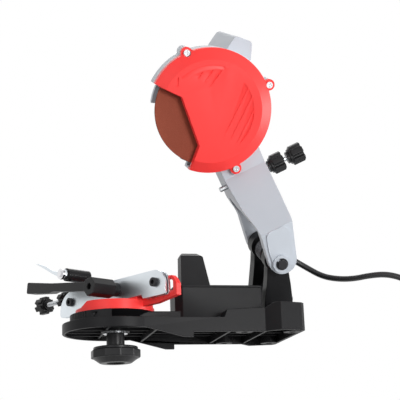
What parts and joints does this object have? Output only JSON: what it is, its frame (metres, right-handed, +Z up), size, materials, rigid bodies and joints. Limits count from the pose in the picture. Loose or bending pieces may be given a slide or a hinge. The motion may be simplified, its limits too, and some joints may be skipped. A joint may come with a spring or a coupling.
{
  "type": "electric chainsaw sharpener",
  "caption": "Bench-mounted electric grinder for saw chains: hinged motor head with a guarded abrasive disc over a swivelling chain vise.",
  "frame": {"origin": "centre of the four bench-bolt holes, on the mounting plane under the base", "axes": "+X to the hinge end, +Y to the far side, away from the operator, +Z up"},
  "size_m": [0.5185, 0.2415, 0.3401],
  "materials": {
    "black_plastic": "fine moulded texture",
    "knob_plastic": "satin moulded",
    "red_plastic": "semi-gloss moulded",
    "grey_housing": "light grey, satin",
    "zinc_plate": "zinc-plated sheet",
    "zinc_steel": "zinc-plated",
    "chrome": "polished",
    "dark_steel": "black oxide",
    "spring_steel": "oiled spring wire",
    "bearing_steel": "ground",
    "laminated_steel": "stacked laminations",
    "aluminium": "turned",
    "abrasive": "bonded abrasive grain",
    "bronze": "sintered",
    "black_rubber": "matt",
    "nickel": "nickel plated",
    "switch_plastic": "glossy"
  },
  "bodies": {
    "base_unit": {"base": "black_plastic", "hinge_bushes": "bronze", "torsion_spring": "spring_steel", "strain_relief": "black_rubber", "mains_cord": "black_rubber", "cord_coil": "black_rubber", "cord_tail": "black_rubber", "plug_body": "black_rubber", "plug_pins": "nickel"},
    "head": {"arm": "grey_housing", "motor_cover": "grey_housing", "disc_cover": "red_plastic", "disc_cover_screws": "zinc_steel", "stator": "laminated_steel", "bearings": "bearing_steel", "hinge_pin": "dark_steel", "hinge_clips": "dark_steel", "switch_frame": "black_plastic"},
    "spindle": {"rotor_shaft": "bearing_steel", "rotor_core": "laminated_steel", "inner_flange": "aluminium", "grinding_disc": "abrasive", "outer_flange": "aluminium", "spindle_nut": "zinc_steel"},
    "switch": {"switch_rocker": "switch_plastic"},
    "depth_screw": {"depth_screw": "zinc_steel"},
    "depth_grip": {"depth_knob": "knob_plastic"},
    "depth_lock": {"depth_lock_knob": "knob_plastic"},
    "turntable": {"turntable": "red_plastic", "rail_near": "zinc_plate", "rail_far": "zinc_plate", "rail_spacers": "zinc_steel", "rail_bolts": "dark_steel", "clamp_stud": "zinc_steel", "clamp_nut": "zinc_steel", "clamp_collar": "knob_plastic", "turntable_stud": "zinc_steel"},
    "clamp_lever": {"clamp_lever": "knob_plastic"},
    "stop_carriage": {"stop_carriage": "knob_plastic", "stop_screw": "zinc_steel", "pawl_pin": "chrome", "pawl_ring": "chrome"},
    "stop_grip": {"stop_knob": "knob_plastic"},
    "stop_lock": {"stop_lock_knob": "knob_plastic"},
    "pawl": {"pawl": "zinc_plate"},
    "lock_washer": {"lock_washer": "zinc_steel"},
    "lock_knob": {"lock_knob": "knob_plastic"}
  },
  "joints": [
    {"name": "arm_hinge", "type": "hinge", "parent": "base_unit", "child": "head", "pos_m": [0.0139, -0.0138, 0.0846], "axis": [0, -0.885, -0.4656], "range_deg": [0, 50], "stiffness_Nm_per_rad": 11, "springref_deg": -12.43},
    {"name": "spindle_spin", "type": "hinge", "parent": "head", "child": "spindle", "pos_m": [-0.05993, -0.07984, 0.21012], "axis": [0, -0.885, -0.4656], "continuous": true},
    {"name": "switch_rock", "type": "hinge", "parent": "head", "child": "switch", "pos_m": [-0.03093, -0.01909, 0.30084], "axis": [0.8988, 0.2041, -0.388], "range_deg": [0, 10]},
    {"name": "depth_slide", "type": "slide", "parent": "head", "child": "depth_screw", "axis": [-0.887, 0.215, -0.4086], "range_m": [-0.006, 0]},
    {"name": "depth_knob_turn", "type": "hinge", "parent": "depth_screw", "child": "depth_grip", "pos_m": [-0.02304, -0.03976, 0.15112], "axis": [-0.887, 0.215, -0.4086], "range_deg": [-2701, 0]},
    {"name": "depth_lock_turn", "type": "hinge", "parent": "head", "child": "depth_lock", "pos_m": [-0.02304, -0.03976, 0.15112], "axis": [-0.887, 0.215, -0.4086], "range_deg": [-360, 0]},
    {"name": "turntable_turn", "type": "hinge", "parent": "base_unit", "child": "turntable", "pos_m": [-0.143, 0, 0.0235], "axis": [0, 0, 1], "range_deg": [-65, 5]},
    {"name": "clamp_turn", "type": "hinge", "parent": "turntable", "child": "clamp_lever", "pos_m": [-0.1395, -0.00606, 0.0467], "axis": [-0.866, -0.5, 0], "range_deg": [0, 18]},
    {"name": "stop_slide", "type": "slide", "parent": "turntable", "child": "stop_carriage", "axis": [0.5, -0.866, 0], "range_m": [-0.006, 0.008]},
    {"name": "stop_knob_turn", "type": "hinge", "parent": "stop_carriage", "child": "stop_grip", "pos_m": [-0.19801, 0.11489, 0.0525], "axis": [0.5, -0.866, 0], "range_deg": [-2701, 3601]},
    {"name": "stop_lock_turn", "type": "hinge", "parent": "turntable", "child": "stop_lock", "pos_m": [-0.18051, 0.08457, 0.0525], "axis": [0.5, -0.866, 0], "range_deg": [0, 360]},
    {"name": "pawl_flip", "type": "hinge", "parent": "stop_carriage", "child": "pawl", "pos_m": [-0.1605, 0.03031, 0.0655], "axis": [-0.866, -0.5, 0], "range_deg": [-60, 0]},
    {"name": "lock_washer_drop", "type": "slide", "parent": "turntable", "child": "lock_washer", "axis": [0, 0, 1], "range_m": [-0.00175, 0]},
    {"name": "lock_knob_turn", "type": "hinge", "parent": "lock_washer", "child": "lock_knob", "pos_m": [-0.143, 0, 0], "axis": [0, 0, 1], "range_deg": [-361, 0]}
  ],
  "couplings": [
    {"joint": "depth_knob_turn", "follows": "depth_slide", "rad_per_m": 7854},
    {"joint": "stop_knob_turn", "follows": "stop_slide", "rad_per_m": 7854},
    {"joint": "lock_knob_turn", "follows": "lock_washer_drop", "rad_per_m": 3590.4}
  ]
}
